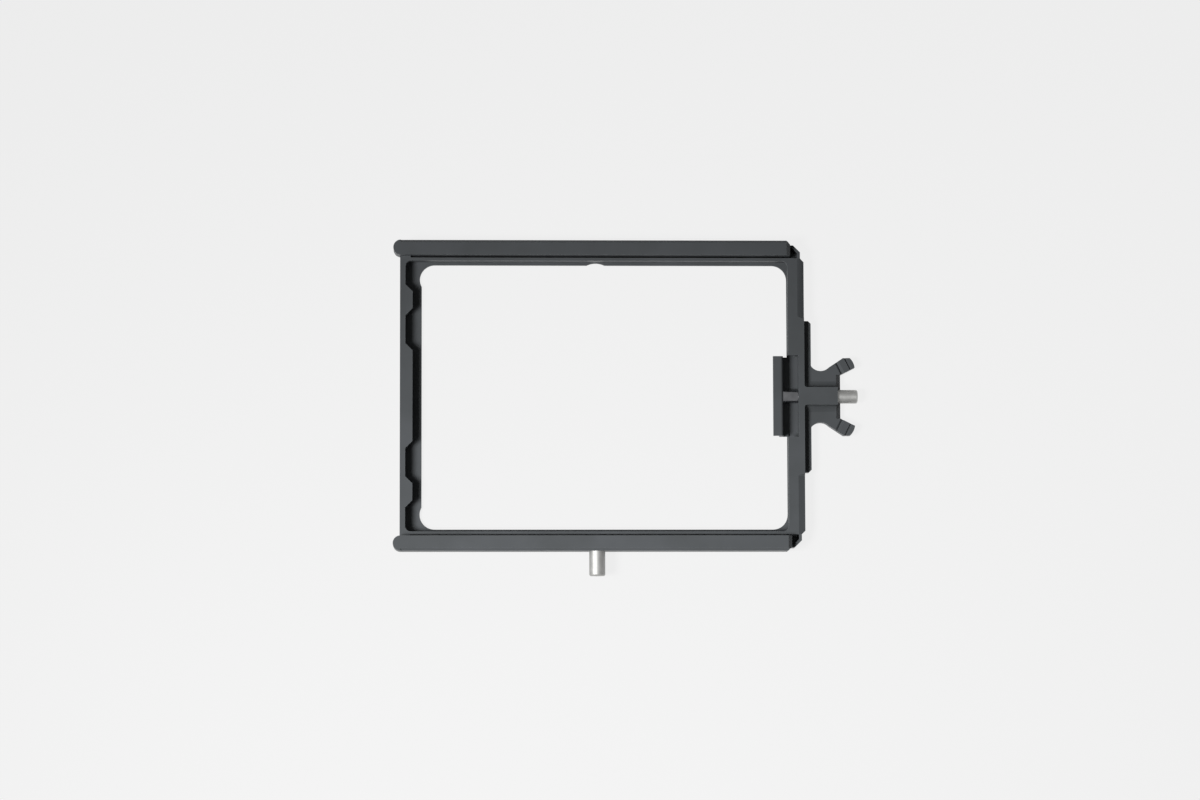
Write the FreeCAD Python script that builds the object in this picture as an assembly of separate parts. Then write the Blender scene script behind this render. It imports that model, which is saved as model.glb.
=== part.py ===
import FreeCAD, Part
import math
import os

# A tray that carries one rectangular glass filter in front of a camera lens.
# It lies on its back face, front side up. X runs along the tray towards the
# handle, Y across it, Z out of the front. The origin is the middle of the light
# window on the back face. All sizes are millimetres.

# The filter that the tray is made for, and its play in the tray
FILTER_LENGTH = 143.5
FILTER_WIDTH = 101.6
FILTER_THICKNESS = 4.0
FILTER_SIDE_PLAY = 0.2
FILTER_FRONT_PLAY = 0.4
LOADING_PLAY = 0.1

# Light window, the thin lip round it and the plate in front of the filter; the
# filter lies on the lip by these seats at the left, the right and the sides
LEFT_SEAT = 5.1
RIGHT_SEAT = 0.8
SIDE_SEAT = 0.85
WINDOW_CORNER = 5.6
CORNER_OVERCUT = 0.7
LIP_THICKNESS = 1.2
PLATE_THICKNESS = 1.4
SCALLOP_X = -3.3
SCALLOP_WIDTH = 6.8
SCALLOP_DEPTH = 0.8

# Left end: rim and the toothed edge that holds the filter down
LEFT_RIM = 3.0
TOOTH_REACH = 1.7
NOTCH_DEPTH = 2.7
MAIN_TOOTH_WIDTH = 34.1
NOTCH_WIDTH = 15.95
SMALL_TOOTH_WIDTH = 6.3
SLOT_CORNER = 2.2

# Right end, with the recess that the jaw slides back into
RIGHT_RIM = 2.2
RIGHT_SLOT_PLAY = 0.2
BEVEL_WIDTH = 2.5
BEVEL_DROP = 0.9
BEVEL_START_Y = 30.0
BEVEL_RUNOUT = 1.0
RECESS_END_PLAY = 0.4
RECESS_BACK_PLAY = 0.1

# Long edges: thin wall beside the filter, then a groove along the rail, which
# ends short of the left edge, the low flange under the rail, and the pocket
# with its thin rim in the corner past the rail's right end
SIDE_WALL = 1.1
RAIL_GROOVE = 0.65
GROOVE_START = 3.9
FLANGE_THICKNESS = 2.0
FLANGE_INSET = 1.4
CORNER_STEP = 1.4
CORNER_CUT = 2.6
CORNER_RIM = 1.0

# Guide rails, screwed on from the back
RAIL_WIDTH = 5.6
RAIL_TOP_Z = 11.0
RAIL_OVERHANG = 2.5
RAIL_END_DISTANCE = 5.3
RAIL_EDGE_CUT = 1.0
RAIL_END_CUT = 1.4
RAIL_END_PLAY = 0.2

# Countersunk screws that hold the rails
SCREW_INSET = 2.0
SCREW_SHANK_RADIUS = 1.0
SCREW_HEAD_RADIUS = 1.9
SCREW_HEAD_HEIGHT = 1.2
SCREW_LENGTH = 7.0
SCREW_PLAY = 0.05
SCREW_SOCKET = 1.3
SCREW_SOCKET_DEPTH = 0.9
SCREW_HOLE_SPARE = 0.8
SCREW_COUNT = 4
SCREW_END_DISTANCE = 12.0

# Handle plate with two finger wings and the boss along its middle
HANDLE_THICKNESS = 4.0
LEDGE_WIDTH = 2.7
LEDGE_LENGTH = 57.2
LEDGE_CUT = 1.0
BOSS_WIDTH = 6.6
BOSS_LENGTH = 12.5
BOSS_ROOT_RADIUS = 1.0
COVE_RADIUS = 2.5
WING_START_Y = 11.6
WING_WAIST_REACH = 6.0
WING_WAIST_Y = 9.7
WING_RISE_REACH = 9.4
WING_RISE_Y = 11.0
WING_TIP_REACH = 14.8
WING_TIP_TOP_Y = 14.6
WING_TIP_FLAT = 2.6
WING_TIP_BULGE = 0.35
WING_END_REACH = 19.2
WING_TIP_LOW_Y = 11.0
WING_INNER_REACH = 13.8
WING_INNER_Y = 8.3
INNER_BEVEL = 1.7
GRIP_GROOVE_WIDTHS = (1.6, 0.8)
GRIP_GROOVE_DEPTH = 0.7
GRIP_GROOVE_PITCH = 3.5
GRIP_GROOVE_SETBACK = 0.4

# Sprung jaw, its rod, return spring, bush and the bright release pin. The foot
# behind the jaw slides on the lip and runs into a slot under the right rim.
JAW_TRAVEL = 5.7
JAW_LENGTH = 30.0
JAW_WALL = 1.3
JAW_HOOK = 2.5
JAW_FOOT_REACH = 2.2
JAW_FOOT_THICKNESS = 0.8
JAW_BACK_RADIUS = 1.0
JAW_FLOOR_PLAY = 0.1
JAW_TOP_DROP = 0.1
ROD_RADIUS = 2.5
ROD_RUNNING_PLAY = 0.05
ROD_AXIS_Z = 3.5
ROD_TAIL_RADIUS = 1.5
ROD_NECK_RADIUS = 1.2
ROD_GUIDE_LENGTH = 2.6
BUSH_LENGTH = 2.0
BUSH_SINK = 0.6
BUSH_SLOT_WIDTH = 0.6
BUSH_SLOT_DEPTH = 0.5
SPRING_WIRE_RADIUS = 0.25
SPRING_BORE_PLAY = 0.25
SPRING_TURNS = 6
SPRING_END_PLAY = 0.05
RELEASE_PIN_RADIUS = 2.55
RELEASE_PIN_LENGTH = 8.2
RELEASE_PIN_THREAD = 5.0
PIN_END_CUT = 0.4
PIN_MOUTH_PLAY = 0.25

# Stop pin that screws into the side of the lower rail
STOP_PIN_X = -3.1
STOP_PIN_RADIUS = 3.0
STOP_PIN_LENGTH = 9.3
STOP_PIN_THREAD_RADIUS = 2.0
STOP_PIN_THREAD_LENGTH = 4.6
STOP_PIN_THREAD_PLAY = 0.05
STOP_PIN_HOLE_SPARE = 0.5

# Levels
SLOT_TOP_Z = LIP_THICKNESS + FILTER_THICKNESS + FILTER_FRONT_PLAY
PLATE_TOP_Z = SLOT_TOP_Z + PLATE_THICKNESS

# The window follows the filter
WINDOW_LENGTH = FILTER_LENGTH - LEFT_SEAT - RIGHT_SEAT
WINDOW_WIDTH = FILTER_WIDTH - 2 * SIDE_SEAT

# Places along the tray
SLOT_LEFT_X = -WINDOW_LENGTH / 2 - LEFT_SEAT
TOOTH_X = SLOT_LEFT_X + TOOTH_REACH
NOTCH_X = TOOTH_X - NOTCH_DEPTH
LEFT_EDGE_X = SLOT_LEFT_X - LEFT_RIM
JAW_OPEN_X = TOOTH_X + FILTER_LENGTH + LOADING_PLAY
JAW_FACE_X = JAW_OPEN_X - JAW_TRAVEL
JAW_BACK_X = JAW_FACE_X + JAW_WALL
JAW_FOOT_X = JAW_BACK_X + JAW_FOOT_REACH
SLOT_RIGHT_X = JAW_OPEN_X + RIGHT_SLOT_PLAY
RECESS_BACK_X = JAW_BACK_X + JAW_TRAVEL + RECESS_BACK_PLAY
RIGHT_EDGE_X = RECESS_BACK_X + RIGHT_RIM
RAIL_LEFT_X = LEFT_EDGE_X - RAIL_OVERHANG
RAIL_RIGHT_X = RIGHT_EDGE_X - RAIL_END_DISTANCE
CORNER_X = RAIL_RIGHT_X + RAIL_END_PLAY

# Places along the handle
BOSS_END_X = RIGHT_EDGE_X + BOSS_LENGTH
WING_WAIST_X = RIGHT_EDGE_X + WING_WAIST_REACH
WING_RISE_X = RIGHT_EDGE_X + WING_RISE_REACH
WING_TIP_LEFT_X = RIGHT_EDGE_X + WING_TIP_REACH
WING_TIP_RIGHT_X = RIGHT_EDGE_X + WING_END_REACH
WING_INNER_X = RIGHT_EDGE_X + WING_INNER_REACH

# Places across the tray
SEAT_HALF_WIDTH = FILTER_WIDTH / 2 + FILTER_SIDE_PLAY
WALL_Y = SEAT_HALF_WIDTH + SIDE_WALL
RAIL_INNER_Y = WALL_Y + RAIL_GROOVE
RAIL_OUTER_Y = RAIL_INNER_Y + RAIL_WIDTH
RAIL_MIDDLE_Y = (RAIL_INNER_Y + RAIL_OUTER_Y) / 2
FLANGE_Y = RAIL_OUTER_Y - FLANGE_INSET
SCREW_Y = RAIL_INNER_Y + SCREW_INSET
RAIL_MIDDLE_Z = (FLANGE_THICKNESS + RAIL_TOP_Z) / 2
RECESS_HALF_LENGTH = JAW_LENGTH / 2 + RECESS_END_PLAY

# Places along the rod
BORE_RADIUS = ROD_RADIUS + ROD_RUNNING_PLAY
ROD_SHOULDER_X = RECESS_BACK_X + ROD_GUIDE_LENGTH
BUSH_OUTER_X = BOSS_END_X - BUSH_SINK
BUSH_INNER_X = BUSH_OUTER_X - BUSH_LENGTH
SPRING_RADIUS = BORE_RADIUS - SPRING_BORE_PLAY - SPRING_WIRE_RADIUS


def vec(x, y, z=0.0):
    return FreeCAD.Vector(x, y, z)


def block(x0, x1, y0, y1, z0, z1):
    return Part.makeBox(x1 - x0, y1 - y0, z1 - z0, vec(x0, y0, z0))


def rod_along_x(radius, x0, x1, y, z):
    return Part.makeCylinder(radius, x1 - x0, vec(x0, y, z), vec(1, 0, 0))


def prism(points, z0, z1):
    """Upright solid over a closed outline of (x, y) corners."""
    corners = [vec(x, y, z0) for x, y in points]
    face = Part.Face(Part.makePolygon(corners + corners[:1]))
    return face.extrude(vec(0, 0, z1 - z0))


def rounded_block(x0, x1, half_width, z0, z1, radius):
    """Block centred on the X axis with its four upright corners rounded."""
    body = block(x0, x1, -half_width, half_width, z0, z1)
    upright = [e for e in body.Edges if abs(e.Vertexes[0].Z - e.Vertexes[1].Z) > (z1 - z0) / 2]
    return body.makeFillet(radius, upright)


def mirrored(shape):
    """The same shape on the other side of the tray's length."""
    return shape.mirror(vec(0, 0, 0), vec(0, 1, 0))


def both_sides(shape):
    return [shape, mirrored(shape)]


def corner_outline(inset):
    """Corner past the rail's right end, its outer edges drawn in by inset."""
    right_x = RIGHT_EDGE_X - CORNER_STEP - inset
    outer_y = FLANGE_Y - inset
    cut = CORNER_CUT - inset * (2 - math.sqrt(2))
    return [
        (CORNER_X, WALL_Y),
        (right_x, WALL_Y),
        (right_x, outer_y - cut),
        (right_x - cut, outer_y),
        (CORNER_X, outer_y),
    ]


def frame_blank():
    """Plate, its low flanges, the ends of the grooves, and the two corners."""
    flange = block(LEFT_EDGE_X, CORNER_X, -FLANGE_Y, FLANGE_Y, 0.0, FLANGE_THICKNESS)
    plate = prism([
        (LEFT_EDGE_X, -WALL_Y), (RIGHT_EDGE_X - CORNER_STEP, -WALL_Y),
        (RIGHT_EDGE_X, CORNER_STEP - WALL_Y), (RIGHT_EDGE_X, WALL_Y - CORNER_STEP),
        (RIGHT_EDGE_X - CORNER_STEP, WALL_Y), (LEFT_EDGE_X, WALL_Y),
    ], 0.0, PLATE_TOP_Z)
    groove_x = LEFT_EDGE_X + GROOVE_START
    groove_end = block(LEFT_EDGE_X, groove_x, -RAIL_INNER_Y, RAIL_INNER_Y, 0.0, PLATE_TOP_Z)
    corner = prism(corner_outline(0.0), 0.0, PLATE_TOP_Z)
    pocket = prism(corner_outline(CORNER_RIM), FLANGE_THICKNESS, PLATE_TOP_Z)
    return plate.fuse([flange, groove_end] + both_sides(corner.cut(pocket)))


def light_window():
    """Window through the lip: overcut left corners, scallop in the upper edge."""
    half = WINDOW_LENGTH / 2
    window = rounded_block(-half, half, WINDOW_WIDTH / 2, 0.0, PLATE_TOP_Z, WINDOW_CORNER)
    overcut = Part.makeCylinder(WINDOW_CORNER, LIP_THICKNESS, vec(
        WINDOW_CORNER - CORNER_OVERCUT - half, WINDOW_WIDTH / 2 - WINDOW_CORNER
    ))
    window = window.fuse(both_sides(overcut))
    radius = (SCALLOP_WIDTH ** 2 / 4 + SCALLOP_DEPTH ** 2) / (2 * SCALLOP_DEPTH)
    centre_y = WINDOW_WIDTH / 2 + SCALLOP_DEPTH - radius
    scallop = Part.makeCylinder(radius, LIP_THICKNESS, vec(SCALLOP_X, centre_y, 0.0))
    keep = block(
        SCALLOP_X - SCALLOP_WIDTH / 2,
        SCALLOP_X + SCALLOP_WIDTH / 2,
        0.0,
        SEAT_HALF_WIDTH,
        0.0,
        LIP_THICKNESS,
    )
    return window.fuse(scallop.common(keep))


def filter_slot():
    """Space that the filter lies in, undercut at both ends."""
    return rounded_block(
        SLOT_LEFT_X, SLOT_RIGHT_X, SEAT_HALF_WIDTH, LIP_THICKNESS, SLOT_TOP_Z, SLOT_CORNER
    )


def front_opening():
    """Opening in front of the filter, with the toothed left edge."""
    half = WINDOW_LENGTH / 2
    opening = rounded_block(
        NOTCH_X, half, SEAT_HALF_WIDTH, LIP_THICKNESS, PLATE_TOP_Z, SLOT_CORNER
    )
    main = MAIN_TOOTH_WIDTH / 2
    small = main + NOTCH_WIDTH
    end = small + SMALL_TOOTH_WIDTH
    return opening.cut([
        tooth(-main, main),
        tooth(small, end),
        tooth(-end, -small),
    ])


def tooth(y0, y1):
    """Tooth with sloped flanks, on the plate and down to the slot's wall."""
    depth = NOTCH_DEPTH
    top = prism(
        [(NOTCH_X, y0 - depth), (TOOTH_X, y0), (TOOTH_X, y1), (NOTCH_X, y1 + depth)],
        SLOT_TOP_Z,
        PLATE_TOP_Z,
    )
    rise = SLOT_LEFT_X - NOTCH_X
    foot = prism(
        [(NOTCH_X, y0 - depth), (SLOT_LEFT_X, y0 - depth + rise),
         (SLOT_LEFT_X, y1 + depth - rise), (NOTCH_X, y1 + depth)],
        LIP_THICKNESS,
        SLOT_TOP_Z,
    )
    return top.fuse(foot)


def jaw_recess():
    """Open recess for the jaw's travel, and a low slot beyond it for the foot."""
    inside = WINDOW_LENGTH / 2 - WINDOW_CORNER
    half = RECESS_HALF_LENGTH
    recess = block(inside, RECESS_BACK_X, -half, half, LIP_THICKNESS, PLATE_TOP_Z)
    slot_end = JAW_FOOT_X + JAW_TRAVEL + RECESS_BACK_PLAY
    slot_top = LIP_THICKNESS + JAW_FOOT_THICKNESS + 2 * JAW_FLOOR_PLAY
    return recess.fuse(block(inside, slot_end, -half, half, LIP_THICKNESS, slot_top))


def outer_bevel():
    """Sloped strip along the right edge, beyond the handle, with a run-out."""
    low_z = PLATE_TOP_Z - BEVEL_DROP
    inner_x = RIGHT_EDGE_X - BEVEL_WIDTH
    profile = [
        vec(inner_x, BEVEL_START_Y, PLATE_TOP_Z),
        vec(RIGHT_EDGE_X, BEVEL_START_Y, low_z),
        vec(RIGHT_EDGE_X, BEVEL_START_Y, PLATE_TOP_Z),
    ]
    face = Part.Face(Part.makePolygon(profile + profile[:1]))
    wedge = face.extrude(vec(0, WALL_Y - BEVEL_START_Y, 0))
    tip = vec(RIGHT_EDGE_X, BEVEL_START_Y - BEVEL_RUNOUT, PLATE_TOP_Z)
    lead = Part.makeLoft([
        Part.Wire(Part.makePolygon(profile + profile[:1])),
        Part.Vertex(tip),
    ], True)
    return wedge.fuse(lead)


def handle_plate():
    """Low plate with the ledge and the two finger wings."""
    ledge_x = RIGHT_EDGE_X + LEDGE_WIDTH
    half = LEDGE_LENGTH / 2
    inside = RIGHT_EDGE_X - CORNER_STEP
    ledge = prism([
        (inside, -half), (ledge_x - LEDGE_CUT, -half), (ledge_x, -half + LEDGE_CUT),
        (ledge_x, half - LEDGE_CUT), (ledge_x - LEDGE_CUT, half), (inside, half),
    ], 0.0, HANDLE_THICKNESS)
    wing = wing_outline().extrude(vec(0, 0, HANDLE_THICKNESS))
    plate = ledge.fuse(both_sides(wing))
    return plate.cut(inner_bevel()).cut([g for cut in grip_grooves() for g in both_sides(cut)])


def wing_outline():
    """One finger wing: a round waist for the finger, then a slanted arm."""
    start = vec(RIGHT_EDGE_X + LEDGE_WIDTH, WING_START_Y)
    waist = vec(WING_WAIST_X, WING_WAIST_Y)
    rise = vec(WING_RISE_X, WING_RISE_Y)
    tip_left = vec(WING_TIP_LEFT_X, WING_TIP_TOP_Y)
    tip_top = vec(WING_TIP_LEFT_X + WING_TIP_FLAT, WING_TIP_TOP_Y)
    tip_right = vec(WING_TIP_RIGHT_X, WING_TIP_LOW_Y)
    across = tip_right - tip_top
    outward = vec(-across.y, across.x).normalize()
    tip_middle = (tip_top + tip_right) * 0.5 + outward * WING_TIP_BULGE
    inner = vec(WING_INNER_X, WING_INNER_Y)
    root = vec(WING_INNER_X, 0.0)
    back = vec(RIGHT_EDGE_X, 0.0)
    back_top = vec(RIGHT_EDGE_X, WING_START_Y)
    line = Part.LineSegment
    edges = [
        Part.Arc(start, waist, rise),
        line(rise, tip_left),
        line(tip_left, tip_top),
        Part.Arc(tip_top, tip_middle, tip_right),
        line(tip_right, inner),
        line(inner, root),
        line(root, back),
        line(back, back_top),
        line(back_top, start),
    ]
    return Part.Face(Part.Wire([edge.toShape() for edge in edges]))


def inner_bevel():
    """Slope along the handle's outer edge between the wings."""
    profile = [
        vec(WING_INNER_X - INNER_BEVEL, -WING_INNER_Y, HANDLE_THICKNESS),
        vec(WING_INNER_X, -WING_INNER_Y, HANDLE_THICKNESS - INNER_BEVEL),
        vec(WING_INNER_X, -WING_INNER_Y, HANDLE_THICKNESS),
    ]
    face = Part.Face(Part.makePolygon(profile + profile[:1]))
    return face.extrude(vec(0, 2 * WING_INNER_Y, 0))


def grip_grooves():
    """V grooves across the tip of the wing at positive Y, square to its inner edge."""
    arm = math.atan2(WING_TIP_LOW_Y - WING_INNER_Y, WING_TIP_RIGHT_X - WING_INNER_X)
    length = WING_TIP_TOP_Y
    grooves = []
    for number, width in enumerate(GRIP_GROOVE_WIDTHS):
        x = WING_INNER_X - GRIP_GROOVE_SETBACK + number * GRIP_GROOVE_PITCH * math.cos(arm)
        y = WING_TIP_LOW_Y + number * GRIP_GROOVE_PITCH * math.sin(arm)
        half = width / 2
        profile = [
            vec(-half, -length / 2, HANDLE_THICKNESS),
            vec(0.0, -length / 2, HANDLE_THICKNESS - GRIP_GROOVE_DEPTH),
            vec(half, -length / 2, HANDLE_THICKNESS),
        ]
        face = Part.Face(Part.makePolygon(profile + profile[:1]))
        groove = face.extrude(vec(0, length, 0))
        groove.rotate(vec(0, 0, 0), vec(0, 0, 1), math.degrees(arm))
        groove.translate(vec(x, y, 0))
        grooves.append(groove)
    return grooves


def boss():
    """Rib that holds the rod, flush with the plate and coved into the wings."""
    half = BOSS_WIDTH / 2
    rib = block(RIGHT_EDGE_X - CORNER_STEP, BOSS_END_X, -half, half, 0.0, PLATE_TOP_Z)
    reach = half + COVE_RADIUS
    end_x = WING_INNER_X - INNER_BEVEL
    cove = block(RIGHT_EDGE_X, end_x, half, reach, HANDLE_THICKNESS, HANDLE_THICKNESS + COVE_RADIUS)
    cove = cove.cut(rod_along_x(COVE_RADIUS, RIGHT_EDGE_X, end_x, reach, HANDLE_THICKNESS + COVE_RADIUS))
    radius = BOSS_ROOT_RADIUS
    root_x = RIGHT_EDGE_X + radius
    root_y = half + radius
    root = block(RIGHT_EDGE_X, root_x, half, root_y, HANDLE_THICKNESS, PLATE_TOP_Z)
    height = PLATE_TOP_Z - HANDLE_THICKNESS
    root = root.cut(Part.makeCylinder(radius, height, vec(root_x, root_y, HANDLE_THICKNESS)))
    return rib.fuse(both_sides(cove) + both_sides(root))


def rod_bore():
    """Bore for the rod and spring, with a wider mouth for the release pin."""
    bore = rod_along_x(BORE_RADIUS, JAW_FACE_X, BUSH_OUTER_X, 0.0, ROD_AXIS_Z)
    mouth_radius = RELEASE_PIN_RADIUS + PIN_MOUTH_PLAY
    mouth = rod_along_x(mouth_radius, BUSH_OUTER_X, WING_INNER_X, 0.0, ROD_AXIS_Z)
    return bore.fuse(mouth)


def screw_places():
    """X places of one rail's screws, evenly spaced along the rail."""
    first = LEFT_EDGE_X + SCREW_END_DISTANCE
    last = RAIL_RIGHT_X - SCREW_END_DISTANCE
    pitch = (last - first) / (SCREW_COUNT - 1)
    return [first + number * pitch for number in range(SCREW_COUNT)]


def screw_body(x, play, length):
    """Countersunk screw as a plain solid, or its hole with some play."""
    base = vec(x, SCREW_Y, 0.0)
    head = Part.makeCone(SCREW_HEAD_RADIUS, SCREW_SHANK_RADIUS, SCREW_HEAD_HEIGHT, base)
    return head.fuse(Part.makeCylinder(SCREW_SHANK_RADIUS + play, length, base))


def screw_holes():
    length = SCREW_LENGTH + SCREW_HOLE_SPARE
    return [screw_body(x, SCREW_PLAY, length) for x in screw_places()]


def tray_frame():
    """The milled frame, one piece from the toothed edge to the finger wings."""
    frame = frame_blank().fuse([handle_plate(), boss()])
    frame = frame.cut([light_window(), filter_slot(), front_opening(), jaw_recess()])
    frame = frame.cut(both_sides(outer_bevel()))
    frame = frame.cut(rod_bore())
    for hole in screw_holes():
        frame = frame.cut(both_sides(hole))
    return frame.removeSplitter()


def rail():
    """Rail at positive Y: round left end, bevelled right end, edge broken."""
    z0 = FLANGE_THICKNESS
    radius = RAIL_WIDTH / 2
    bar = block(RAIL_LEFT_X + radius, RAIL_RIGHT_X, RAIL_INNER_Y, RAIL_OUTER_Y, z0, RAIL_TOP_Z)
    nose = Part.makeCylinder(radius, RAIL_TOP_Z - z0, vec(RAIL_LEFT_X + radius, RAIL_MIDDLE_Y, z0))
    bar = bar.fuse(nose).removeSplitter()
    bar = bar.cut(rail_end_cuts())
    bar = bar.cut(rail_edge_cut())
    for hole in screw_holes():
        bar = bar.cut(hole)
    return bar


def rail_end_cuts():
    """Lead-in slopes at the right end, on the top and on the outer corner."""
    cut = RAIL_END_CUT
    corners = [
        vec(RAIL_RIGHT_X - cut, RAIL_INNER_Y, RAIL_TOP_Z),
        vec(RAIL_RIGHT_X, RAIL_INNER_Y, RAIL_TOP_Z - cut),
        vec(RAIL_RIGHT_X, RAIL_INNER_Y, RAIL_TOP_Z),
    ]
    face = Part.Face(Part.makePolygon(corners + corners[:1]))
    top = face.extrude(vec(0, RAIL_WIDTH, 0))
    side = prism([
        (RAIL_RIGHT_X - cut, RAIL_OUTER_Y),
        (RAIL_RIGHT_X, RAIL_OUTER_Y - cut),
        (RAIL_RIGHT_X, RAIL_OUTER_Y),
    ], 0.0, RAIL_TOP_Z)
    return [top, side]


def rail_edge_cut():
    """Narrow slope along the rail's outer top edge, right of the round nose."""
    x0 = RAIL_LEFT_X + RAIL_WIDTH / 2
    cut = RAIL_EDGE_CUT
    corners = [
        vec(x0, RAIL_OUTER_Y - cut, RAIL_TOP_Z),
        vec(x0, RAIL_OUTER_Y, RAIL_TOP_Z - cut),
        vec(x0, RAIL_OUTER_Y, RAIL_TOP_Z),
    ]
    face = Part.Face(Part.makePolygon(corners + corners[:1]))
    return face.extrude(vec(RAIL_RIGHT_X - x0, 0, 0))


def stop_pin_hole():
    """Threaded hole for the stop pin in the lower rail's outer side."""
    depth = STOP_PIN_THREAD_LENGTH + STOP_PIN_HOLE_SPARE
    radius = STOP_PIN_THREAD_RADIUS + STOP_PIN_THREAD_PLAY
    base = vec(STOP_PIN_X, -RAIL_OUTER_Y, RAIL_MIDDLE_Z)
    return Part.makeCylinder(radius, depth, base, vec(0, 1, 0))


def stop_pin():
    """Plain round pin with a threaded end in the lower rail."""
    base = vec(STOP_PIN_X, -RAIL_OUTER_Y, RAIL_MIDDLE_Z)
    pin = Part.makeCylinder(STOP_PIN_RADIUS, STOP_PIN_LENGTH - PIN_END_CUT, base, vec(0, -1, 0))
    tip = Part.makeCone(
        STOP_PIN_RADIUS,
        STOP_PIN_RADIUS - PIN_END_CUT,
        PIN_END_CUT,
        base + vec(0, PIN_END_CUT - STOP_PIN_LENGTH, 0),
        vec(0, -1, 0),
    )
    thread = Part.makeCylinder(STOP_PIN_THREAD_RADIUS, STOP_PIN_THREAD_LENGTH, base, vec(0, 1, 0))
    return pin.fuse([tip, thread])


def rail_screws():
    """One rail's countersunk screws, each with a hexagon socket in its head."""
    corner = SCREW_SOCKET / math.sqrt(3)
    screws = []
    for x in screw_places():
        hexagon = []
        for number in range(6):
            angle = math.radians(60 * number)
            hexagon.append((x + corner * math.cos(angle), SCREW_Y + corner * math.sin(angle)))
        socket = prism(hexagon, 0.0, SCREW_SOCKET_DEPTH)
        screws.append(screw_body(x, 0.0, SCREW_LENGTH).cut(socket))
    return Part.makeCompound(screws)


def filter_jaw():
    """Hook over the filter's right edge, on a foot that closes the gap behind."""
    top_z = PLATE_TOP_Z - JAW_TOP_DROP
    low_z = LIP_THICKNESS + JAW_FLOOR_PLAY
    foot_z = low_z + JAW_FOOT_THICKNESS
    radius = JAW_BACK_RADIUS
    half = JAW_LENGTH / 2
    slope = radius * math.sqrt(0.5)
    centre = vec(JAW_BACK_X - radius, -half, top_z - radius)
    line = Part.LineSegment
    foot_low = vec(JAW_FOOT_X, -half, low_z)
    foot_top = vec(JAW_FOOT_X, -half, foot_z)
    foot_root = vec(JAW_BACK_X, -half, foot_z)
    arc_low = centre + vec(radius, 0, 0)
    arc_top = centre + vec(0, 0, radius)
    nose_top = vec(JAW_FACE_X - JAW_HOOK, -half, top_z)
    nose_low = vec(JAW_FACE_X - JAW_HOOK, -half, SLOT_TOP_Z)
    inner = vec(JAW_FACE_X, -half, SLOT_TOP_Z)
    low_face = vec(JAW_FACE_X, -half, low_z)
    edges = [
        line(foot_low, foot_top),
        line(foot_top, foot_root),
        line(foot_root, arc_low),
        Part.Arc(arc_low, centre + vec(slope, 0, slope), arc_top),
        line(arc_top, nose_top),
        line(nose_top, nose_low),
        line(nose_low, inner),
        line(inner, low_face),
        line(low_face, foot_low),
    ]
    section = Part.Face(Part.Wire([edge.toShape() for edge in edges]))
    jaw = section.extrude(vec(0, JAW_LENGTH, 0))
    return jaw.cut([
        rod_along_x(ROD_TAIL_RADIUS, JAW_FACE_X, JAW_BACK_X, 0.0, ROD_AXIS_Z),
        rod_along_x(BORE_RADIUS, JAW_BACK_X, JAW_FOOT_X, 0.0, ROD_AXIS_Z),
    ])


def jaw_rod():
    """Rod riveted into the jaw, with a thin neck through the spring and bush."""
    tail = rod_along_x(ROD_TAIL_RADIUS, JAW_FACE_X, JAW_BACK_X, 0.0, ROD_AXIS_Z)
    thick = rod_along_x(ROD_RADIUS, JAW_BACK_X, ROD_SHOULDER_X, 0.0, ROD_AXIS_Z)
    neck_end = BUSH_OUTER_X + RELEASE_PIN_THREAD
    neck = rod_along_x(ROD_NECK_RADIUS, ROD_SHOULDER_X, neck_end, 0.0, ROD_AXIS_Z)
    return thick.fuse([tail, neck])


def jaw_spring():
    """Coil spring round the neck, between the rod's shoulder and the bush."""
    start_x = ROD_SHOULDER_X + SPRING_WIRE_RADIUS + SPRING_END_PLAY
    end_x = BUSH_INNER_X - SPRING_WIRE_RADIUS - SPRING_END_PLAY
    height = end_x - start_x
    helix = Part.makeHelix(height / SPRING_TURNS, height, SPRING_RADIUS)
    circle = Part.Circle(vec(SPRING_RADIUS, 0, 0), vec(0, 1, 0), SPRING_WIRE_RADIUS)
    wire = Part.Wire([circle.toShape()])
    coil = Part.Wire(helix).makePipeShell([wire], True, True)
    coil.rotate(vec(0, 0, 0), vec(0, 1, 0), 90)
    coil.translate(vec(start_x, 0, ROD_AXIS_Z))
    return coil


def jaw_bush():
    """Bush screwed into the boss's end; two slots take a pin spanner."""
    bush = rod_along_x(BORE_RADIUS, BUSH_INNER_X, BUSH_OUTER_X, 0.0, ROD_AXIS_Z)
    hole_radius = ROD_NECK_RADIUS + ROD_RUNNING_PLAY
    bush = bush.cut(rod_along_x(hole_radius, BUSH_INNER_X, BUSH_OUTER_X, 0.0, ROD_AXIS_Z))
    slot = block(
        BUSH_OUTER_X - BUSH_SLOT_DEPTH,
        BUSH_OUTER_X,
        -BORE_RADIUS,
        BORE_RADIUS,
        ROD_AXIS_Z - BUSH_SLOT_WIDTH / 2,
        ROD_AXIS_Z + BUSH_SLOT_WIDTH / 2,
    )
    return bush.cut(slot)


def release_pin():
    """Bright pin screwed on the rod's neck; it moves out and in with the jaw."""
    end_x = BUSH_OUTER_X + RELEASE_PIN_LENGTH
    pin = rod_along_x(RELEASE_PIN_RADIUS, BUSH_OUTER_X, end_x - PIN_END_CUT, 0.0, ROD_AXIS_Z)
    tip = Part.makeCone(
        RELEASE_PIN_RADIUS,
        RELEASE_PIN_RADIUS - PIN_END_CUT,
        PIN_END_CUT,
        vec(end_x - PIN_END_CUT, 0.0, ROD_AXIS_Z),
        vec(1, 0, 0),
    )
    neck_end = BUSH_OUTER_X + RELEASE_PIN_THREAD
    return pin.fuse(tip).cut(rod_along_x(ROD_NECK_RADIUS, BUSH_OUTER_X, neck_end, 0.0, ROD_AXIS_Z))


def export(name, shape):
    shape.exportStep("parts/" + name + ".step")


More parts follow.
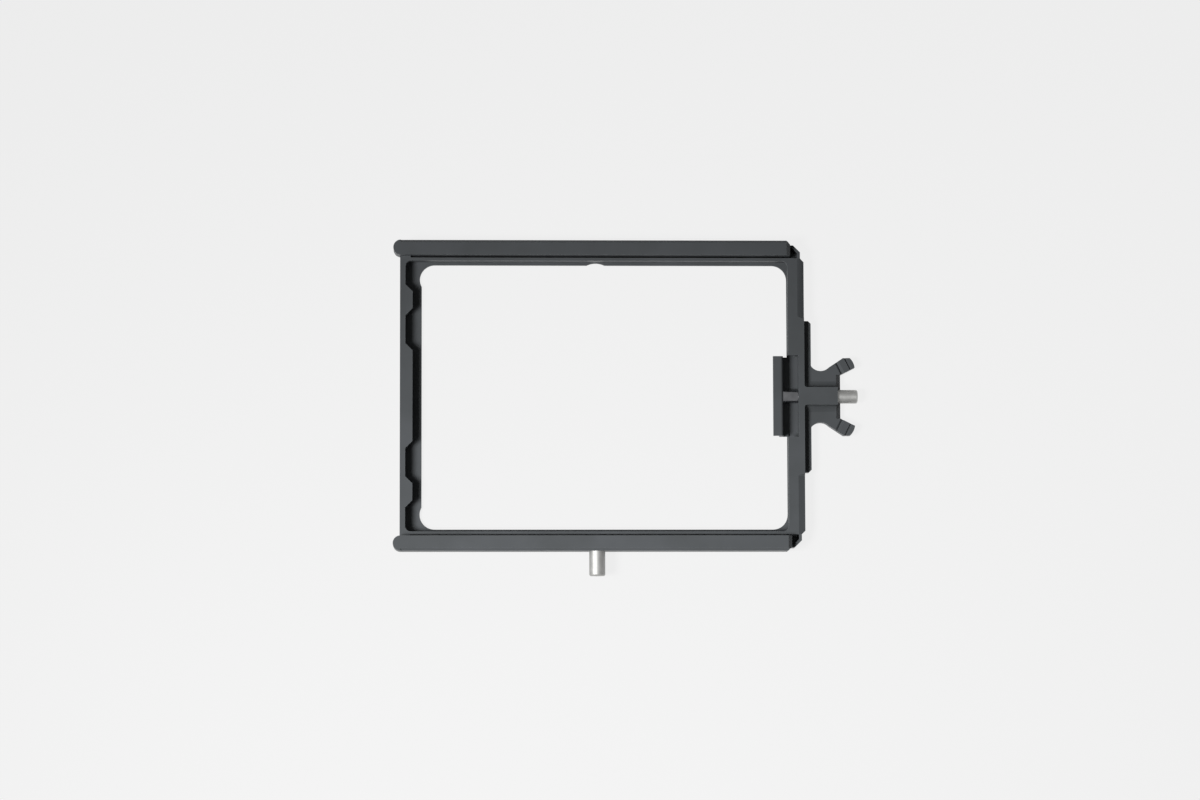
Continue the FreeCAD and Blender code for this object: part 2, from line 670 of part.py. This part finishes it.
os.makedirs("parts", exist_ok=True)
upper_rail = rail()
upper_screws = rail_screws()
export("tray_frame", tray_frame())
export("upper_rail", upper_rail)
export("lower_rail", mirrored(upper_rail).cut(stop_pin_hole()))
export("upper_rail_screws", upper_screws)
export("lower_rail_screws", mirrored(upper_screws))
export("stop_pin", stop_pin())
export("filter_jaw", filter_jaw())
export("jaw_rod", jaw_rod())
export("jaw_spring", jaw_spring())
export("jaw_bush", jaw_bush())
export("release_pin", release_pin())
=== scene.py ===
import math
import bpy
from mathutils import Matrix, Vector

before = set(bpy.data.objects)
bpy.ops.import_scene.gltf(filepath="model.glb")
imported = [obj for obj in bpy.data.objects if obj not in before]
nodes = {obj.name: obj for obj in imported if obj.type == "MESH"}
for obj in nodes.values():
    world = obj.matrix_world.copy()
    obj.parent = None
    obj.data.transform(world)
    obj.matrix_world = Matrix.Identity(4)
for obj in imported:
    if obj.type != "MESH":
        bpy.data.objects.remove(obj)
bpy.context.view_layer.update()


# Camera: a long lens 1.6 m above the tray, a little towards the lower rail and
# the left end, so that walls that face that way just show.
camera_aim = Vector((-0.0018, -0.0013, 0.0035))
camera_away = Vector((-0.0342, -0.0983, 0.9946)).normalized()
camera_distance = 1.6
camera_roll = -0.0026
photo_width = 1200
photo_scale = 2661.0  # pixels for each metre at the aim
sensor_mm = 36.0
nearest_seen = 0.05
furthest_seen = 50.0

camera_right = Vector((0, 1, 0)).cross(camera_away).normalized()
camera_up = camera_away.cross(camera_right)
turned_right = math.cos(camera_roll) * camera_right + math.sin(camera_roll) * camera_up
turned_up = math.cos(camera_roll) * camera_up - math.sin(camera_roll) * camera_right

camera = bpy.data.objects.new("camera", bpy.data.cameras.new("camera"))
bpy.context.scene.collection.objects.link(camera)
camera.location = camera_aim + camera_away * camera_distance
camera.rotation_euler = Matrix((turned_right, turned_up, camera_away)).transposed().to_euler()
camera.data.sensor_width = sensor_mm
camera.data.lens = photo_scale * camera_distance * sensor_mm / photo_width
camera.data.clip_start = nearest_seen
camera.data.clip_end = furthest_seen
bpy.context.scene.camera = camera


# Tray frame: one plate of aluminium, milled all over with its edges broken,
# then bead blasted and anodised black. The dyed oxide is a dark satin skin, so
# flat faces read as even dark grey, with a paler painted highlight along the edges.
anodised_light = "#595c5f"
anodised_dark = "#525557"
# paler tone for the painted highlight laid along the edges
anodised_edge_highlight = "#7b7f82"
anodised_roughness = (0.36, 0.46)
dyed_oxide_shine = 0.2
blast_grain_mm = 0.35  # real grain is about 0.1 mm, too fine to show
blast_stretch = 1.0
grain_detail = 2.0
grain_relief = 0.12
grain_depth_mm = 0.04
dye_patch_mm = 16.0
dye_patch_detail = 3.0
tone_span = (0.3, 0.7)
edge_highlight_mm = 0.12
highlight_samples = 6
highlight_turn = (0.99, 0.9)  # cosines where the painted edge highlight starts and where it is full
frame_edge_mm = 0.2
edge_segments = 2
edge_least_angle = 32.0
flat_angle = 1.0
weld_mm = 0.001


def linear(colour):
    """sRGB hex colour as linear red, green, blue and alpha."""
    parts = [int(colour[place:place + 2], 16) / 255 for place in (1, 3, 5)]
    return [p / 12.92 if p <= 0.04045 else ((p + 0.055) / 1.055) ** 2.4 for p in parts] + [1.0]


def add_node(material, kind, links=None, **settings):
    """Adds a node. Links go to its inputs; settings are inputs or attributes."""
    tree = material.node_tree
    node = tree.nodes.new(kind)
    for name, value in settings.items():
        title = name.replace("_", " ").title()
        if title in node.inputs:
            node.inputs[title].default_value = value
        else:
            setattr(node, name, value)
    for name, socket in (links or {}).items():
        tree.links.new(socket, node.inputs[name])
    return node


def new_finish(name):
    """Empty material with its shader joined to the output."""
    material = bpy.data.materials.new(name)
    material.use_nodes = True
    material.node_tree.nodes.clear()
    shader = add_node(material, "ShaderNodeBsdfPrincipled")
    add_node(material, "ShaderNodeOutputMaterial", {"Surface": shader.outputs["BSDF"]})
    return material, shader


def two_tone(material, factor, dark, light):
    """Colour between two tones, by a factor from 0 to 1."""
    ramp = add_node(material, "ShaderNodeValToRGB", {"Fac": factor})
    for stop, position, tone in zip(ramp.color_ramp.elements, tone_span, (dark, light)):
        stop.position = position
        stop.color = linear(tone)
    return ramp.outputs["Color"]


def painted_edge_highlight(material, tone, edge_colour, width_mm):
    """Paints a highlight along edges: a paler tone where a bevelled normal turns away."""
    rounded = add_node(material, "ShaderNodeBevel", samples=highlight_samples, radius=width_mm / 1000)
    flat = add_node(material, "ShaderNodeNewGeometry").outputs["Normal"]
    turned = add_node(material, "ShaderNodeVectorMath",
                      {0: rounded.outputs["Normal"], 1: flat}, operation="DOT_PRODUCT")
    highlight_share = add_node(material, "ShaderNodeMapRange", {"Value": turned.outputs["Value"]},
                    from_min=highlight_turn[0], from_max=highlight_turn[1])
    blend = add_node(material, "ShaderNodeMix", {"Factor": highlight_share.outputs["Result"]}, data_type="RGBA")
    first_colour, second_colour, mixed_colour = 6, 7, 2  # the node's colour sockets
    material.node_tree.links.new(tone, blend.inputs[first_colour])
    blend.inputs[second_colour].default_value = linear(edge_colour)
    return blend.outputs[mixed_colour]


def anodised_finish(name, stretch, line_mm):
    """Black anodised aluminium; stretch draws its fine lines out along X."""
    material, shader = new_finish(name)
    place = add_node(material, "ShaderNodeTexCoord").outputs["Object"]
    patch = add_node(material, "ShaderNodeTexNoise", {"Vector": place},
                     scale=1000 / dye_patch_mm, detail=dye_patch_detail)
    drawn = add_node(material, "ShaderNodeMapping", {"Vector": place})
    drawn.inputs["Scale"].default_value = (1 / stretch, 1.0, 1.0)
    grain = add_node(material, "ShaderNodeTexNoise", {"Vector": drawn.outputs["Vector"]},
                     scale=1000 / line_mm, detail=grain_detail)
    gloss = add_node(material, "ShaderNodeMapRange", {"Value": patch.outputs["Fac"]},
                     to_min=anodised_roughness[0], to_max=anodised_roughness[1])
    relief = add_node(material, "ShaderNodeBump", {"Height": grain.outputs["Fac"]},
                      strength=grain_relief, distance=grain_depth_mm / 1000)
    tone = two_tone(material, patch.outputs["Fac"], anodised_dark, anodised_light)
    # the paler tone along the edges is a painted highlight
    tone = painted_edge_highlight(material, tone, anodised_edge_highlight, edge_highlight_mm)
    links = material.node_tree.links
    links.new(tone, shader.inputs["Base Color"])
    links.new(gloss.outputs["Result"], shader.inputs["Roughness"])
    links.new(relief.outputs["Normal"], shader.inputs["Normal"])
    shader.inputs["Specular IOR Level"].default_value = dyed_oxide_shine
    return material


def break_edges(node, width_mm):
    """Breaks the sharp edges of a carried-over solid, as a file or cutter does."""
    weld = node.modifiers.new("joined", "WELD")
    weld.merge_threshold = weld_mm / 1000
    flat = node.modifiers.new("flat faces", "DECIMATE")
    flat.decimate_type = "DISSOLVE"
    flat.angle_limit = math.radians(flat_angle)
    edge = node.modifiers.new("broken edge", "BEVEL")
    edge.width = width_mm / 1000
    edge.segments = edge_segments
    edge.limit_method = "ANGLE"
    edge.angle_limit = math.radians(edge_least_angle)
    edge.use_clamp_overlap = True


blasted_aluminium = anodised_finish(
    "bead_blasted_black_anodised_aluminium", blast_stretch, blast_grain_mm)
nodes["tray_frame"].material_slots[0].material = blasted_aluminium
break_edges(nodes["tray_frame"], frame_edge_mm)


# Guide rails: two milled bars of the same black anodised aluminium, screwed on
# from the back. They were cut along their length, which leaves fine straight
# lines along them.
rail_line_mm = 0.4
rail_stretch = 60.0
rail_edge_mm = 0.2

drawn_aluminium = anodised_finish("length_milled_black_anodised_aluminium", rail_stretch, rail_line_mm)
for name in ("upper_rail", "lower_rail"):
    nodes[name].material_slots[0].material = drawn_aluminium
    break_edges(nodes[name], rail_edge_mm)


# Rail screws: countersunk steel screws with hexagon sockets, turned and given
# a black oxide, which looks like dark oiled metal.
oxide_light = "#3a3a3c"
oxide_dark = "#29292b"
oxide_roughness = (0.28, 0.42)
oxide_patch_mm = 1.2
oxide_patch_detail = 3.0

black_oxide_steel, shader = new_finish("black_oxide_steel")
place = add_node(black_oxide_steel, "ShaderNodeTexCoord").outputs["Object"]
patch = add_node(black_oxide_steel, "ShaderNodeTexNoise", {"Vector": place},
                 scale=1000 / oxide_patch_mm, detail=oxide_patch_detail)
tone = two_tone(black_oxide_steel, patch.outputs["Fac"], oxide_dark, oxide_light)
gloss = add_node(black_oxide_steel, "ShaderNodeMapRange", {"Value": patch.outputs["Fac"]},
                 to_min=oxide_roughness[0], to_max=oxide_roughness[1])
black_oxide_steel.node_tree.links.new(tone, shader.inputs["Base Color"])
black_oxide_steel.node_tree.links.new(gloss.outputs["Result"], shader.inputs["Roughness"])
shader.inputs["Metallic"].default_value = 1.0
for name in ("upper_rail_screws", "lower_rail_screws"):
    nodes[name].material_slots[0].material = black_oxide_steel


# Stop pin: plain stainless pin, turned and screwed into the lower rail's side.
# Turning leaves it with rings round its axis and a broad soft sheen.
steel_light = "#bfbfbd"
steel_dark = "#b3b3b1"
stop_pin_roughness = (0.56, 0.64)
turning_ring_mm = 1.57  # real feed is about 0.05 mm, too fine to show
wave_length = 2 * math.pi / 20  # of the wave pattern at a scale of 1
ring_waver = 0.4
ring_detail = 1.0
ring_relief = 0.15
ring_depth_mm = 0.02
handling_mark_mm = 2.5
handling_mark_detail = 4.0


def turned_steel(name, along, dark, light, roughness):
    """Turned steel with rings square to its axis, X or Y."""
    material, shader = new_finish(name)
    place = add_node(material, "ShaderNodeTexCoord").outputs["Object"]
    rings = add_node(material, "ShaderNodeTexWave", {"Vector": place},
                     bands_direction=along, scale=1000 * wave_length / turning_ring_mm,
                     distortion=ring_waver, detail=ring_detail)
    marks = add_node(material, "ShaderNodeTexNoise", {"Vector": place},
                     scale=1000 / handling_mark_mm, detail=handling_mark_detail)
    tone = two_tone(material, marks.outputs["Fac"], dark, light)
    gloss = add_node(material, "ShaderNodeMapRange", {"Value": marks.outputs["Fac"]},
                     to_min=roughness[0], to_max=roughness[1])
    relief = add_node(material, "ShaderNodeBump", {"Height": rings.outputs["Fac"]},
                      strength=ring_relief, distance=ring_depth_mm / 1000)
    links = material.node_tree.links
    links.new(tone, shader.inputs["Base Color"])
    links.new(gloss.outputs["Result"], shader.inputs["Roughness"])
    links.new(relief.outputs["Normal"], shader.inputs["Normal"])
    shader.inputs["Metallic"].default_value = 1.0
    return material


nodes["stop_pin"].material_slots[0].material = turned_steel(
    "turned_stainless_stop_pin", "Y", steel_dark, steel_light, stop_pin_roughness)


# Filter jaw: a small hooked bar of the same blasted and anodised aluminium. It
# slides in the recess at the right edge and is riveted to the rod behind it.
jaw_edge_mm = 0.2

nodes["filter_jaw"].material_slots[0].material = blasted_aluminium
break_edges(nodes["filter_jaw"], jaw_edge_mm)


# Jaw rod: ground steel, blacked and oiled, but drawn paler than the screws'
# oxide. It is smooth, and mirrors the room above it as an even grey, darker
# than the bright pins.
rod_light = "#9a9b9e"
rod_dark = "#87888b"
rod_roughness = (0.14, 0.2)

nodes["jaw_rod"].material_slots[0].material = turned_steel(
    "blacked_ground_steel_rod", "X", rod_dark, rod_light, rod_roughness)


# Release pin: turned stainless steel like the stop pin, on the rod's axis. It
# shows at the end of the boss, where thumb and finger pull it out.
release_pin_roughness = (0.48, 0.56)

nodes["release_pin"].material_slots[0].material = turned_steel(
    "turned_stainless_release_pin", "X", steel_dark, steel_light, release_pin_roughness)


# Jaw spring: bright drawn spring wire, coiled round the rod's neck inside the
# boss. Drawing leaves it smooth, with faint marks.
wire_light = "#b4b4b5"
wire_dark = "#97979a"
wire_roughness = 0.22
draw_mark_mm = 0.8
draw_mark_detail = 2.0

drawn_wire, shader = new_finish("drawn_spring_wire")
place = add_node(drawn_wire, "ShaderNodeTexCoord").outputs["Object"]
marks = add_node(drawn_wire, "ShaderNodeTexNoise", {"Vector": place},
                 scale=1000 / draw_mark_mm, detail=draw_mark_detail)
tone = two_tone(drawn_wire, marks.outputs["Fac"], wire_dark, wire_light)
drawn_wire.node_tree.links.new(tone, shader.inputs["Base Color"])
shader.inputs["Metallic"].default_value = 1.0
shader.inputs["Roughness"].default_value = wire_roughness
nodes["jaw_spring"].material_slots[0].material = drawn_wire


# Jaw bush: a small turned brass bush screwed into the boss's end. It guides the
# neck and keeps the spring in. At rest the release pin hides it.
brass_light = "#c9a55c"
brass_dark = "#a9863f"
brass_roughness = 0.35
tarnish_mm = 1.0
tarnish_detail = 3.0

turned_brass, shader = new_finish("turned_brass")
place = add_node(turned_brass, "ShaderNodeTexCoord").outputs["Object"]
tarnish = add_node(turned_brass, "ShaderNodeTexNoise", {"Vector": place},
                   scale=1000 / tarnish_mm, detail=tarnish_detail)
tone = two_tone(turned_brass, tarnish.outputs["Fac"], brass_dark, brass_light)
turned_brass.node_tree.links.new(tone, shader.inputs["Base Color"])
shader.inputs["Metallic"].default_value = 1.0
shader.inputs["Roughness"].default_value = brass_roughness
nodes["jaw_bush"].material_slots[0].material = turned_brass


# Floor: a plain pale sheet that the tray lies on. The camera and mirror-like
# faces see it mostly as its own even tone, so the tray's shadow is faint.
floor_colour = "#f2f2f2"
floor_even_share = 0.94
floor_half = 8.0
floor_drop_mm = 0.1  # keeps it clear of the tray's back face

floor_mesh = bpy.data.meshes.new("floor")
floor_mesh.from_pydata(
    [(-floor_half, -floor_half, 0), (floor_half, -floor_half, 0),
     (floor_half, floor_half, 0), (-floor_half, floor_half, 0)],
    [], [(0, 1, 2, 3)])
floor = bpy.data.objects.new("floor", floor_mesh)
bpy.context.scene.collection.objects.link(floor)
floor.location.z = -floor_drop_mm / 1000

pale_sheet = bpy.data.materials.new("matt_pale_sheet")
pale_sheet.use_nodes = True
pale_sheet.node_tree.nodes.clear()
matt = add_node(pale_sheet, "ShaderNodeBsdfDiffuse", color=linear(floor_colour))
even = add_node(pale_sheet, "ShaderNodeEmission", color=linear(floor_colour), strength=1.0)
mixed = add_node(pale_sheet, "ShaderNodeMixShader", {1: matt.outputs["BSDF"], 2: even.outputs["Emission"]})
mixed.inputs["Fac"].default_value = floor_even_share
ray = add_node(pale_sheet, "ShaderNodeLightPath")
direct = add_node(pale_sheet, "ShaderNodeMath", {
    0: ray.outputs["Is Camera Ray"], 1: ray.outputs["Is Glossy Ray"]}, operation="MAXIMUM")
seen = add_node(pale_sheet, "ShaderNodeMixShader", {
    "Fac": direct.outputs["Value"], 1: matt.outputs["BSDF"], 2: mixed.outputs["Shader"]})
add_node(pale_sheet, "ShaderNodeOutputMaterial", {"Surface": seen.outputs["Shader"]})
floor_mesh.materials.append(pale_sheet)
pale_sheet.cycles.emission_sampling = "NONE"


# Light: one soft box from the left and a little from the lower rail's side,
# which throws the dark shadows right of each wall. Its grid narrows the beam,
# which is aimed past the lower rail, so that rail gets more than the upper one.
key_from = Vector((-0.66, -0.3, 1.0)).normalized()
key_distance = 1.1
key_size = 0.36
key_aim = Vector((0.0, -0.2, 0.0))
key_spread = 42.0
key_power = 1.25

key_data = bpy.data.lights.new("key", "AREA")
key_data.shape = "SQUARE"
key_data.size = key_size
key_data.spread = math.radians(key_spread)
key_data.energy = key_power
key = bpy.data.objects.new("key", key_data)
bpy.context.scene.collection.objects.link(key)
key.location = key_from * key_distance
key.rotation_euler = (key.location - key_aim).to_track_quat("Z", "Y").to_euler()


# Room: nearly dark, so that shadows stay deep. Bright metal mirrors a grey
# ceiling in it, and the camera sees the same pale tone as the floor's.
room_colour = "#f2f2f2"
room_strength = 0.012
ceiling_strength = 0.45

room = bpy.data.worlds.new("room")
room.use_nodes = True
room.node_tree.nodes.clear()
dim = add_node(room, "ShaderNodeBackground", color=linear(room_colour), strength=room_strength)
ceiling = add_node(room, "ShaderNodeBackground", color=linear(room_colour), strength=ceiling_strength)
pale = add_node(room, "ShaderNodeBackground", color=linear(room_colour), strength=1.0)
ray = add_node(room, "ShaderNodeLightPath")
mirrored = add_node(room, "ShaderNodeMixShader", {
    "Fac": ray.outputs["Is Glossy Ray"], 1: dim.outputs["Background"], 2: ceiling.outputs["Background"]})
backdrop = add_node(room, "ShaderNodeMixShader", {
    "Fac": ray.outputs["Is Camera Ray"], 1: mirrored.outputs["Shader"], 2: pale.outputs["Background"]})
add_node(room, "ShaderNodeOutputWorld", {"Surface": backdrop.outputs["Shader"]})
room.cycles.sampling_method = "NONE"
bpy.context.scene.world = room

bpy.context.scene.view_settings.view_transform = "Standard"
